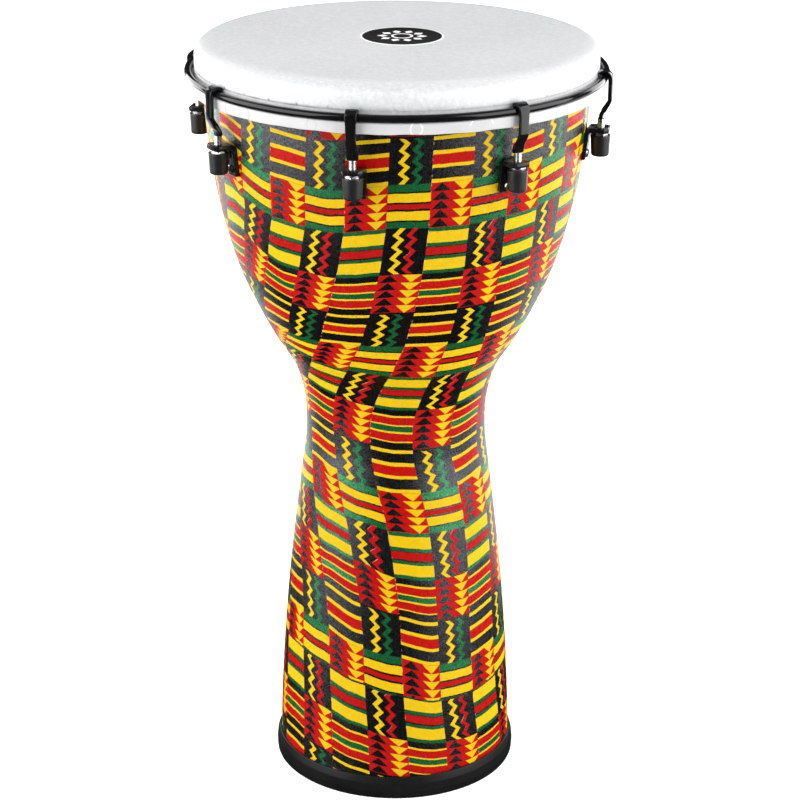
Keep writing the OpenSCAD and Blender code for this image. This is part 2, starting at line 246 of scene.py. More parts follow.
# ---------------------------------------------------------------- node helpers
class Nodes:
    """Short names for building a material's nodes."""

    def __init__(self, name):
        self.mat = bpy.data.materials.new(name)
        self.mat.use_nodes = True
        self.nt = self.mat.node_tree
        self.nt.nodes.clear()
        self.out = self.nt.nodes.new("ShaderNodeOutputMaterial")
        self.p = self.nt.nodes.new("ShaderNodeBsdfPrincipled")
        self.nt.links.new(self.p.outputs[0], self.out.inputs[0])

    def put(self, socket, value):
        if isinstance(value, bpy.types.NodeSocket):
            self.nt.links.new(value, socket)
        else:
            socket.default_value = value

    def m(self, op, a, b=None, c=None, clamp=False):
        n = self.nt.nodes.new("ShaderNodeMath")
        n.operation = op
        n.use_clamp = clamp
        for s, v in zip(n.inputs, (a, b, c)):
            if v is not None:
                self.put(s, v)
        return n.outputs[0]

    def mix(self, f, a, b):
        n = self.nt.nodes.new("ShaderNodeMix")
        n.data_type = "RGBA"
        self.put(n.inputs[0], f)
        for s, v in ((n.inputs[6], a), (n.inputs[7], b)):
            self.put(s, (*v, 1.0) if isinstance(v, tuple) and len(v) == 3 else v)
        return n.outputs[2]

    def coords(self, kind="Object"):
        n = self.nt.nodes.new("ShaderNodeTexCoord")
        return n.outputs[kind]

    def uv(self, name):
        n = self.nt.nodes.new("ShaderNodeUVMap")
        n.uv_map = name
        return n.outputs[0]

    def split(self, v):
        n = self.nt.nodes.new("ShaderNodeSeparateXYZ")
        self.put(n.inputs[0], v)
        return n.outputs[0], n.outputs[1], n.outputs[2]

    def join(self, x, y, z=0.0):
        n = self.nt.nodes.new("ShaderNodeCombineXYZ")
        for s, v in zip(n.inputs, (x, y, z)):
            self.put(s, v)
        return n.outputs[0]

    def stretch(self, v, scale):
        n = self.nt.nodes.new("ShaderNodeMapping")
        self.put(n.inputs[0], v)
        n.inputs["Scale"].default_value = scale
        return n.outputs[0]

    def noise(self, v, scale, detail=3.0, rough=0.5):
        n = self.nt.nodes.new("ShaderNodeTexNoise")
        self.put(n.inputs["Vector"], v)
        n.inputs["Scale"].default_value = scale
        n.inputs["Detail"].default_value = detail
        n.inputs["Roughness"].default_value = rough
        return n.outputs[0]

    def cells(self, v, scale, feature="F1"):
        n = self.nt.nodes.new("ShaderNodeTexVoronoi")
        n.feature = feature
        self.put(n.inputs["Vector"], v)
        n.inputs["Scale"].default_value = scale
        return n.outputs["Distance"]

    def ramp(self, f, stops, how="LINEAR"):
        n = self.nt.nodes.new("ShaderNodeValToRGB")
        n.color_ramp.interpolation = how
        e = n.color_ramp.elements
        while len(e) < len(stops):
            e.new(0.5)
        for k, (pos, col) in enumerate(stops):
            e[k].position = pos
            e[k].color = (*col, 1.0) if isinstance(col, tuple) else (col, col, col, 1.0)
        self.put(n.inputs[0], f)
        return n.outputs[0]

    def span(self, f, a, b, c, d):
        n = self.nt.nodes.new("ShaderNodeMapRange")
        self.put(n.inputs[0], f)
        for s, v in zip(n.inputs[1:5], (a, b, c, d)):
            s.default_value = v
        return n.outputs[0]

    def bump(self, height, strength, distance, normal=None):
        n = self.nt.nodes.new("ShaderNodeBump")
        n.inputs["Strength"].default_value = strength
        n.inputs["Distance"].default_value = distance
        self.put(n.inputs["Height"], height)
        if normal is not None:
            self.put(n.inputs["Normal"], normal)
        return n.outputs[0]

    def set(self, **kw):
        names = {"base": "Base Color", "rough": "Roughness", "metal": "Metallic", "normal": "Normal",
                 "spec": "Specular IOR Level", "coat": "Coat Weight", "coat_rough": "Coat Roughness",
                 "sheen": "Sheen Weight", "sheen_rough": "Sheen Roughness", "ior": "IOR",
                 "sss": "Subsurface Weight", "tint": "Specular Tint", "sss_scale": "Subsurface Scale"}
        for k, v in kw.items():
            if isinstance(v, tuple) and len(v) == 3:
                v = (*v, 1.0)
            self.put(self.p.inputs[names[k]], v)
        return self.mat


def rgb(r, g, b):
    """An sRGB colour, 0 to 255, as linear numbers."""
    def lin(c):
        c /= 255
        return c / 12.92 if c <= 0.04045 else ((c + 0.055) / 1.055) ** 2.4
    return lin(r), lin(g), lin(b)


YELLOW = (0.460, 0.296, 0.0008)
RED = (0.276, 0.0016, 0.0010)
GREEN = (0.0014, 0.060, 0.014)
BLACK = (0.0018, 0.0017, 0.0018)
PALE = rgb(214, 160, 140)


def printed_cloth():
    """Block print of stripes, zigzags and triangles. UV: u counts strips, v counts rows downwards."""
    g = Nodes("printed_cloth")
    u0, v0, _ = g.split(g.uv("print"))
    raw = g.uv("print")
    # the print wanders a little, as cloth does
    wob_a = g.m("MULTIPLY", g.m("SUBTRACT", g.noise(raw, 1.7, 2.0), 0.5), 0.035)
    wob_b = g.m("MULTIPLY", g.m("SUBTRACT", g.noise(g.stretch(raw, (1.3, 1.9, 1.0)), 2.3, 2.0), 0.5), 0.035)
    edge = g.m("MULTIPLY", g.m("SUBTRACT", g.noise(raw, 26.0, 2.0), 0.5), 0.010)
    u = g.m("ADD", u0, wob_a)
    v = g.m("ADD", g.m("ADD", v0, wob_b), edge)
    col = g.m("FLOOR", u)
    s = g.m("ADD", g.m("SUBTRACT", u, col), edge)
    odd = g.m("FLOORED_MODULO", col, 2.0)
    row = g.m("FLOOR", v)
    t = g.m("SUBTRACT", v, row)
    rm = g.m("FLOORED_MODULO", row, 4.0)

    def stripes(stops):
        pos, out = 0.0, []
        for end, c in stops:
            out.append((pos, c))
            pos = end
        return g.ramp(t, out, "CONSTANT")

    stripes_a = stripes([(0.035, BLACK), (0.11, YELLOW), (0.325, BLACK), (0.41, YELLOW), (0.62, RED),
                         (0.69, YELLOW), (0.92, BLACK), (1, YELLOW)])
    stripes_b = stripes([(0.17, GREEN), (0.205, BLACK), (0.41, YELLOW), (0.45, BLACK), (0.565, RED),
                         (0.61, BLACK), (0.82, YELLOW), (0.855, BLACK), (1, GREEN)])
    stripes_c = stripes([(0.085, GREEN), (0.325, YELLOW), (0.405, GREEN), (0.42, BLACK), (0.585, RED),
                         (0.61, BLACK), (0.68, GREEN), (0.92, YELLOW), (1, GREEN)])
    stripes_d = stripes([(0.155, BLACK), (0.205, YELLOW), (0.40, RED), (0.435, YELLOW), (0.575, GREEN),
                         (0.625, YELLOW), (0.82, RED), (0.85, YELLOW), (1, BLACK)])

    def zigzag(first, left, right, start, end=1.0):
        """1 on the line, and where along its cycle it is."""
        p = g.m("FRACT", g.m("DIVIDE", g.m("SUBTRACT", t, first), 0.2445))
        w = g.ramp(p, [(0.0, 1.0), (0.6, 0.0), (1.0, 1.0)])
        x = g.m("MULTIPLY_ADD", w, right - left, left)
        off = g.m("SUBTRACT", s, x)
        on = g.m("LESS_THAN", g.m("ABSOLUTE", off), 0.066)
        on = g.m("MULTIPLY", on, g.m("GREATER_THAN", t, start))
        return g.m("MULTIPLY", on, g.m("LESS_THAN", t, end)), off, p

    za, _, _ = zigzag(0.15, 0.268, 0.415, 0.055)
    zb, _, _ = zigzag(0.14, 0.583, 0.728, 0.05)
    zig_yg = g.mix(zb, g.mix(za, BLACK, YELLOW), GREEN)
    zc, _, _ = zigzag(0.252, 0.238, 0.392, 0.0, 0.99)
    zd, off, p = zigzag(0.245, 0.552, 0.706, 0.0, 0.975)
    zig_yr = g.mix(zd, g.mix(zc, BLACK, YELLOW), RED)
    hair = g.m("MULTIPLY", g.m("MULTIPLY", zd, g.m("LESS_THAN", off, -0.054)), g.m("LESS_THAN", p, 0.58))
    zig_yr = g.mix(g.m("MULTIPLY", hair, g.span(g.noise(raw, 2.1, 1.0), 0.50, 0.66, 0.0, 0.8)), zig_yr, PALE)

    q = g.m("MULTIPLY", t, 5.0)
    f = g.m("FRACT", q)
    up = g.m("LESS_THAN", g.m("ABSOLUTE", g.m("SUBTRACT", s, 0.25)), g.m("MULTIPLY", f, 0.225))
    up = g.m("MULTIPLY", up, g.m("LESS_THAN", f, 0.95))
    down = g.m("LESS_THAN", g.m("ABSOLUTE", g.m("SUBTRACT", s, 0.765)),
               g.m("MULTIPLY", g.m("SUBTRACT", 1.0, f), 0.235))
    down = g.m("MULTIPLY", down, g.m("GREATER_THAN", f, 0.03))
    triangles = g.mix(down, g.mix(up, RED, BLACK), YELLOW)

    def pick(a, b, c, d):
        ab = g.mix(g.m("GREATER_THAN", rm, 0.5), a, b)
        cd = g.mix(g.m("GREATER_THAN", rm, 2.5), c, d)
        return g.mix(g.m("GREATER_THAN", rm, 1.5), ab, cd)

    strip_one = pick(zig_yg, stripes_b, zig_yr, triangles)
    strip_two = pick(stripes_a, triangles, stripes_c, stripes_d)
    cloth = g.mix(odd, strip_two, strip_one)
    # a pale thread where two strips meet
    thread = g.m("LESS_THAN", s, 0.010)
    thread = g.m("MULTIPLY", thread, g.m("SUBTRACT", 1.0, odd))
    thread = g.m("MULTIPLY", thread, g.m("GREATER_THAN", g.noise(g.stretch(raw, (0.5, 3.0, 1.0)), 3.0, 2.0), 0.56))
    cloth = g.mix(g.m("MULTIPLY", thread, 0.6), cloth, PALE)
    # the upper sheet ends on a dark green line, and the lower one starts under it
    joint = g.m("MULTIPLY", g.m("GREATER_THAN", v0, 13.862), g.m("LESS_THAN", v0, 14.07))
    joint_ink = g.mix(g.span(g.noise(g.stretch(raw, (1.0, 0.1, 1.0)), 2.0, 1.0), 0.4, 0.6, 0.0, 1.0),
                      BLACK, (0.0025, 0.045, 0.014))
    cloth = g.mix(joint, cloth, joint_ink)
    tint, leaf, _ = g.split(cloth)

    # uneven dye, slubs along the weft, and light grey specks painted over the print as sheen on the weave
    slub = g.noise(g.stretch(raw, (9.0, 44.0, 1.0)), 1.6, 3.0, 0.6)
    slub2 = g.noise(g.stretch(raw, (34.0, 10.0, 1.0)), 1.6, 3.0, 0.6)
    grain = g.noise(g.coords(), 880.0, 2.0, 0.65)
    mottle = g.noise(raw, 7.0, 4.0, 0.6)
    shade = g.m("ADD", g.m("MULTIPLY", g.m("SUBTRACT", slub, 0.5), 0.34),
                g.m("MULTIPLY", g.m("SUBTRACT", slub2, 0.5), 0.16))
    shade = g.m("ADD", shade, g.m("MULTIPLY", g.m("SUBTRACT", mottle, 0.5), 0.16))
    hsv = g.nt.nodes.new("ShaderNodeHueSaturation")
    g.put(hsv.inputs["Color"], cloth)
    g.put(hsv.inputs["Value"], g.m("ADD", 1.0, shade))
    cloth = hsv.outputs[0]
    # painted sheen: sparse light grey specks mixed into the print colour
    sheen_fleck = g.m("MULTIPLY", g.span(slub, 0.66, 0.76, 0.0, 0.03), g.span(mottle, 0.45, 0.7, 0.0, 1.0))
    cloth = g.mix(sheen_fleck, cloth, rgb(150, 146, 150))

    # plain weave: threads about 0.45 mm apart
    tau = 2 * math.pi
    warp = g.m("SINE", g.m("MULTIPLY", u0, 70 * tau))
    weft = g.m("SINE", g.m("MULTIPLY", v0, 78 * tau))
    weave = g.m("MULTIPLY", warp, weft)
    weave = g.m("ADD", g.m("MULTIPLY", weave, 0.35), g.m("MULTIPLY", slub, 1.1))
    weave = g.m("ADD", weave, g.m("MULTIPLY", slub2, 0.6))
    nrm = g.bump(weave, 0.45, 0.00012)
    nrm = g.bump(grain, 0.7, 0.00025, nrm)
    nrm = g.bump(g.noise(raw, 1.3, 2.0), 0.25, 0.0011, nrm)
    rough = g.span(g.m("ADD", mottle, g.m("MULTIPLY", grain, 0.5)), 0.45, 1.0, 0.22, 0.34)
    # the black ink is the glossiest, red and yellow the dullest
    spec = g.m("MULTIPLY", g.span(tint, 0.0, 0.25, 0.85, 0.09), g.span(grain, 0.34, 0.66, 0.45, 1.6))
    # green ink throws back a green gloss, black a cool one
    green = g.m("MULTIPLY", g.m("LESS_THAN", tint, 0.02), g.m("GREATER_THAN", leaf, 0.03))
    spec = g.m("MULTIPLY", spec, g.m("MULTIPLY_ADD", green, 0.9, 1.0))
    g.set(tint=g.mix(green, (0.92, 0.95, 1.0), (0.28, 1.0, 0.52)))
    return g.set(base=cloth, rough=rough, spec=spec, normal=nrm)


def coated_black(name, base, r0, r1, scale, depth, distance):
    """Gloss black coating on steel or a casting, with orange peel, lighter blotches and lighter grey along sharp edges.
    """
    g = Nodes(name)
    c = g.coords()
    peel = g.noise(c, scale, 2.0)
    dust = g.noise(c, 90.0, 5.0, 0.65)
    rough = g.span(dust, 0.3, 0.72, r0, r1)
    tone = g.mix(g.span(dust, 0.35, 0.8, 0.0, 1.0), base, tuple(min(1, x * 1.7 + 0.001) for x in base))
    # lighter grey along sharp edges, in sparse patches
    geo = g.nt.nodes.new("ShaderNodeNewGeometry")
    edge = g.m("MULTIPLY", g.span(geo.outputs["Pointiness"], 0.53, 0.60, 0.0, 1.0),
               g.span(g.noise(c, 700.0, 3.0), 0.56, 0.70, 0.0, 0.22))
    tone = g.mix(edge, tone, (0.11, 0.11, 0.115))
    return g.set(base=tone, rough=rough, spec=0.24, normal=g.bump(peel, depth, distance))


def plated(name="plated_steel"):
    g = Nodes(name)
    c = g.coords()
    lines = g.noise(g.stretch(c, (1.0, 1.0, 9.0)), 420.0, 3.0)
    haze = g.noise(c, 60.0, 4.0)
    tone = g.mix(g.span(haze, 0.35, 0.7, 0.0, 1.0), (0.66, 0.66, 0.67), (0.46, 0.47, 0.49))
    rough = g.span(lines, 0.3, 0.7, 0.20, 0.36)
    return g.set(base=tone, metal=1.0, rough=rough, normal=g.bump(lines, 0.12, 0.0001))


def rubber(name, base, r0, r1, grain, gloss):
    g = Nodes(name)
    c = g.coords()
    fine = g.noise(c, grain, 3.0, 0.6)
    soft = g.noise(c, 24.0, 4.0)
    scuff = g.span(g.noise(g.stretch(c, (1.0, 1.0, 3.0)), 160.0, 4.0, 0.7), 0.58, 0.75, 0.0, 0.5)
    tone = g.mix(g.span(soft, 0.3, 0.75, 0.0, 1.0), base, tuple(x * 1.6 + 0.001 for x in base))
    tone = g.mix(scuff, tone, tuple(x * 2.0 + 0.004 for x in base))
    rough = g.span(g.m("ADD", soft, g.m("MULTIPLY", fine, 0.3)), 0.4, 0.9, r0, r1)
    return g.set(base=tone, rough=rough, spec=gloss, normal=g.bump(fine, 0.35, 0.00012))


def white_film():
    g = Nodes("white_film")
    c = g.coords()
    x, y, z = g.split(c)
    cloud = g.noise(c, 9.0, 4.0, 0.55)
    fine = g.noise(c, 900.0, 3.0, 0.6)
    fibre = g.noise(g.stretch(c, (1.0, 1.3, 1.0)), 300.0, 5.0, 0.75)
    a = g.nt.nodes.new("ShaderNodeAttribute")
    a.attribute_name = "crease_shade"
    tone = g.mix(g.span(cloud, 0.3, 0.7, 0.0, 1.0), (0.462, 0.466, 0.475), (0.505, 0.509, 0.518))
    tone = g.mix(g.span(fibre, 0.42, 0.60, 0.0, 1.0), tone, (0.570, 0.571, 0.574))
    specks = g.span(g.cells(c, 240.0), 0.0, 0.20, 1.0, 0.0)
    specks = g.m("MULTIPLY", specks, g.span(g.noise(c, 60.0, 3.0, 0.6), 0.58, 0.70, 0.0, 1.0))
    tone = g.mix(g.m("MULTIPLY", specks, 0.30), tone, (0.37, 0.366, 0.36))
    # painted shade: the attribute read above darkens the film in the crease and notches just above the counter hoop
    tone = g.mix(g.m("MULTIPLY", a.outputs["Fac"], 0.9, clamp=True), tone, (0.035, 0.034, 0.034))
    rough = g.span(g.m("ADD", cloud, g.m("MULTIPLY", fine, 0.3)), 0.4, 0.9, 0.34, 0.46)
    return g.set(base=tone, rough=rough, spec=0.45, normal=g.bump(fine, 0.10, 0.00006),
                 sss=0.06, sss_scale=0.004)


def white_band():
    """The flesh hoop's film wrapping: pale, with raised lines painted white as painted highlight and scored lines
    painted dark as painted shade.
    """
    g = Nodes("white_band")
    c = g.coords()
    a = g.nt.nodes.new("ShaderNodeAttribute")
    a.attribute_name = "mark"
    mark = a.outputs["Fac"]
    cloud = g.noise(c, 30.0, 4.0, 0.6)
    tone = g.mix(g.span(cloud, 0.3, 0.7, 0.0, 1.0), (0.385, 0.386, 0.385), (0.43, 0.431, 0.43))
    # painted highlight on the raised lines, painted shade in the scored ones
    tone = g.mix(g.m("MULTIPLY", mark, 0.95, clamp=True), tone, (0.74, 0.74, 0.74))
    tone = g.mix(g.m("MULTIPLY", mark, -0.75, clamp=True), tone, (0.20, 0.20, 0.20))
    rough = g.span(cloud, 0.3, 0.7, 0.30, 0.44)
    return g.set(base=tone, rough=rough, spec=0.45, normal=g.bump(g.noise(c, 700.0, 2.0), 0.1, 0.00006))


def moulded_inside():
    """The bare inside of the shell: dark resin over chopped strands."""
    g = Nodes("moulded_inside")
    c = g.coords()
    strands = g.noise(g.stretch(c, (1.0, 1.0, 0.35)), 240.0, 4.0, 0.7)
    blotch = g.noise(c, 26.0, 4.0)
    tone = g.mix(g.span(blotch, 0.3, 0.7, 0.0, 1.0), (0.018, 0.017, 0.017), (0.045, 0.043, 0.042))
    tone = g.mix(g.span(strands, 0.6, 0.75, 0.0, 0.4), tone, (0.10, 0.095, 0.09))
    rough = g.span(strands, 0.3, 0.7, 0.42, 0.7)
    nrm = g.bump(strands, 0.5, 0.0004)
    return g.set(base=tone, rough=rough, spec=0.4, normal=g.bump(blotch, 0.4, 0.0016, nrm))


def badge_print():
    """Black disc with a pale rim and a plain ring of lozenges."""
    g = Nodes("badge_print")
    u, v, _ = g.split(g.uv("disc"))
    r = g.m("SQRT", g.m("ADD", g.m("MULTIPLY", u, u), g.m("MULTIPLY", v, v)))
    ang = g.m("ARCTAN2", v, u)
    seg = g.m("SUBTRACT", g.m("FRACT", g.m("MULTIPLY_ADD", ang, 10 / (2 * math.pi), 0.25)), 0.5)
    across = g.m("MULTIPLY", g.m("ABSOLUTE", seg), g.m("MULTIPLY", r, 2 * math.pi / 10))
    out = g.m("ABSOLUTE", g.m("SUBTRACT", r, 0.47))
    loz = g.m("LESS_THAN", g.m("ADD", g.m("MULTIPLY", across, 1.25), out), 0.135)
    ring = g.m("LESS_THAN", g.m("ABSOLUTE", g.m("SUBTRACT", r, 0.235)), 0.028)
    rim = g.m("GREATER_THAN", r, 0.955)
    mark = g.m("MAXIMUM", g.m("MAXIMUM", loz, ring), rim)
    c = g.coords()
    ink = g.noise(c, 260.0, 4.0, 0.6)
    tone = g.mix(g.span(ink, 0.3, 0.7, 0.0, 1.0), (0.0026, 0.0026, 0.0024), (0.0062, 0.0060, 0.0056))
    tone = g.mix(mark, tone, (0.84, 0.84, 0.83))
    return g.set(base=tone, rough=g.span(ink, 0.3, 0.7, 0.34, 0.48), spec=0.05, normal=g.bump(ink, 0.1, 0.00005))


M_PRINT = printed_cloth()
M_INSIDE = moulded_inside()
M_FILM = white_film()
M_BAND = white_band()
M_BADGE = badge_print()
M_STEEL = coated_black("gloss_black_bar", (0.0026, 0.0026, 0.0029), 0.07, 0.14, 380.0, 0.12, 0.0001)
M_CAST = coated_black("black_casting", (0.0040, 0.0040, 0.0044), 0.14, 0.26, 950.0, 0.26, 0.00012)
M_PLATED = plated()
M_CAP = rubber("cap_rubber", (0.0065, 0.0065, 0.0068), 0.28, 0.42, 1500.0, 0.40)
M_FOOT = rubber("foot_rubber", (0.0034, 0.0037, 0.0037), 0.34, 0.46, 900.0, 0.13)


def wear(ob, *mats):
    ob.data.materials.clear()
    for m in mats:
        ob.data.materials.append(m)


# ---------------------------------------------------------------- shell with its printed wrap
# where the strips' meeting lines run: height mm, azimuth of line 0 seen from the camera, degrees a strip
LINES = [(600, 10.6, 12.0), (575, 10.4, 12.05), (537, 10.0, 12.3), (500, 9.6, 12.55), (465, 8.45, 13.6), (430, 6.5, 15.3),
         (397, 3.4, 17.7), (370, -1.9, 21.2), (350, -8.6, 24.6), (337, -12.6, 26.0), (320, -16.0, 26.6), (298, -15.8, 26.3),
         (285, -14.6, 26.2), (268, -11.4, 25.9), (245, -6.8, 24.8), (232, -4.4, 24.0), (198, -0.5, 22.4),
         (175, 1.5, 20.9), (145, 3.1, 19.9), (108, 3.9, 19.4), (75, 5.1, 19.1), (42, 6.9, 19.5), (16, 7.6, 19.6)]
# where the rows meet: row number, then heights mm at azimuths -60 to 60 by 20
ROWS = [(-1, [612, 610, 609, 610, 611, 612, 614]),
        (0, [584, 573, 568, 573, 575, 577, 584]),
        (1, [550, 534, 529, 536.5, 538, 541, 547]),
        (2, [516, 500.5, 495.5, 502, 502, 505, 509]),
        (3, [479, 460, 457.5, 463.5, 464, 467.5, 472]),
        (4, [438, 427.5, 426, 430.5, 431, 432.5, 435.5]),
        (5, [396, 395, 397.5, 398, 397.5, 398, 402]),
        (6, [378, 373, 370, 367, 364.5, 365, 368]),
        (7, [346, 341, 337, 333.5, 332, 332, 335]),
        (8, [311, 307, 303, 299.5, 298, 298, 301]),
        (9, [279, 273.5, 267, 263, 261.5, 262, 265.5]),
        (10, [250, 244, 237.5, 231, 228, 227, 230]),
        (11, [217, 210.5, 204, 193, 188, 188, 192]),
        (12, [184, 181.5, 171, 162.5, 154, 153, 157]),
        (13, [146.5, 143.5, 132, 126, 115.5, 114, 117]),
        (13.88, [115.5, 111, 101.5, 92.5, 84, 83, 86]),
        (14.08, [114.9, 110.4, 100.9, 91.9, 83.4, 82.4, 85.4]),
        (15, [77, 72, 62.5, 53.5, 46, 43.5, 45]),
        (16, [40, 34.5, 26, 19.5, 12, 9, 10]),
        (17, [5, 0, -9, -15, -22, -25, -24])]


def print_uv(theta, z):
    """Print coordinates at azimuth theta (degrees from the camera's side, -180 to 180) and height z (mm)."""
    lz = np.array([r[0] for r in LINES][::-1], float)
    c = np.interp(z, lz, [r[1] for r in LINES][::-1])
    w = np.interp(z, lz, [r[2] for r in LINES][::-1])
    u = (theta - c) / w
    knots = np.array([-180, -120, -60, -40, -20, 0, 20, 40, 60, 120, 180], float)
    numbers = np.array([r[0] for r in ROWS], float)
    table = []
    for _, hs in ROWS:
        mean = (hs[0] + hs[-1]) / 2
        table.append([mean, (hs[0] + mean) / 2, *hs, (hs[-1] + mean) / 2, mean])
    table = np.array(table)
    # smooth across azimuth, linear between rows
    x = np.clip((np.interp(theta, knots, np.arange(len(knots)))), 0, len(knots) - 1 - 1e-9)
    i = np.floor(x).astype(int)
    f = x - i
    f = f * f * (3 - 2 * f) * 0.5 + f * 0.5
    heights = table[:, i] * (1 - f) + table[:, i + 1] * f
    v = np.empty_like(theta)
    for k in range(len(theta)):
        v[k] = np.interp(-z[k], -heights[:, k], numbers)
    return u, v


# gentle the lines' corners: the table above is sampled through a smoothing window
def smooth_lines():
    z = np.arange(4.0, 611.0, 1.0)
    lz = np.array([r[0] for r in LINES][::-1], float)
    c = np.interp(z, lz, [r[1] for r in LINES][::-1])
    w = np.interp(z, lz, [r[2] for r in LINES][::-1])
    k = np.hanning(17)
    k /= k.sum()
    pad = len(k) // 2
    c = np.convolve(np.pad(c, pad, mode="edge"), k, mode="valid")
    w = np.convolve(np.pad(w, pad, mode="edge"), k, mode="valid")
    return [(float(a), float(b), float(d)) for a, b, d in zip(z, c, w)][::-1]


LINES = smooth_lines()


def build_shell():
    segs = 360
    low, high = RING_FLOOR, RIM_Z - 0.00505
    # closer rows where the wrap's two sheets meet
    zs = np.concatenate([np.linspace(low, 0.078, 38)[:-1], np.arange(0.078, 0.120, 0.0005), np.linspace(0.120, high, 244)])
    seam = math.radians(-90 + VIEW_AZ + 180)  # the wrap's joint is at the back
    ang = seam + np.arange(segs) * 2 * math.pi / segs
    outer = [(shell_r(float(z)), float(z)) for z in zs]
    rim = arc(RIM_R - 0.0042, RIM_Z - 0.0042, 0.0042, 0, 90, 10)
    rim += [(RIM_R - WALL + 0.0001, RIM_Z - 0.0004), (RIM_R - WALL - 0.0001, RIM_Z - 0.0016)]
    inner = [(inner_r(float(z)), float(z)) for z in np.linspace(high - 0.001, low, 150)]
    profile = outer + rim + inner
    n_out = len(outer)
    n = len(profile)
    r = np.array([p[0] for p in profile])
    z = np.array([p[1] for p in profile])
    # the wrap laps over itself by 9 mm at the joint
    lift = np.zeros((n, segs))
    lap = np.zeros(segs)
    for i in range(segs):
        d = i * 360 / segs
        lap[i] = 1.0 if d < 3.2 else max(0.0, 1 - (d - 3.2) / 1.0)
    lift[:n_out, :] = 0.00018 * lap[None, :]
    rr = r[:, None] + lift
    verts = np.stack([rr * np.cos(ang), rr * np.sin(ang), np.broadcast_to(z[:, None], rr.shape)], -1).reshape(-1, 3)
    faces, kind = [], []
    for a in range(n):
        b = (a + 1) % n
        for i in range(segs):
            j = (i + 1) % segs
            faces.append((a * segs + i, a * segs + j, b * segs + j, b * segs + i))
            kind.append(0 if a < n_out + 8 else 1)
    ob = new_object("wrapped_shell", verts, faces)
    me = ob.data
    me.polygons.foreach_set("material_index", kind)
    wear(ob, M_PRINT, M_INSIDE)
    # a loop keeps its own side of the joint
    loops = np.empty(len(me.loops), int)
    me.loops.foreach_get("vertex_index", loops)
    starts = np.empty(len(me.polygons), int)
    me.polygons.foreach_get("loop_start", starts)
    col = loops % segs
    face_of = np.repeat(np.arange(len(me.polygons)), 4)
    last = (face_of % segs) == segs - 1
    theta = -180.0 + col * 360.0 / segs
    theta = np.where(last & (col == 0), 180.0, theta)
    height = verts[loops, 2] * 1000
    u, v = print_uv(theta, height)
    layer = me.uv_layers.new(name="print")
    layer.data.foreach_set("uv", np.stack([u, v], -1).reshape(-1))
    return ob


shell = build_shell()
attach(shell, "drum")
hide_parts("shell")


def build_foot():
    r = FOOT_R
    lip = 0.0038
    top = 0.0186
    inside = r - WALL
    pts = [(inside - 0.0026, 0.0), (r + lip - 0.0004, 0.0), (r + lip, 0.0062), (r + lip - 0.0006, top - 0.0058),
           (r + 0.0014, top), (r + 0.00025, top), (r + 0.00025, RING_FLOOR - 0.0003), (inside - 0.0002, RING_FLOOR - 0.0003),
           (inside - 0.0002, top - 0.007), (inside - 0.0014, top - 0.007), (inside - 0.0026, top - 0.0085)]
    rad = [0.0006, 0.0013, 0.004, 0.004, 0.0011, 0.0003, 0.0002, 0.0002, 0.0004, 0.0006, 0.0006]
    out = rounded(pts, rad, 6)
    ob = revolve("rubber_foot", out, 240)
    sharpen(ob, 50)
    wear(ob, M_FOOT)
    return ob


foot = build_foot()
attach(foot, "drum")
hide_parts("foot_ring")


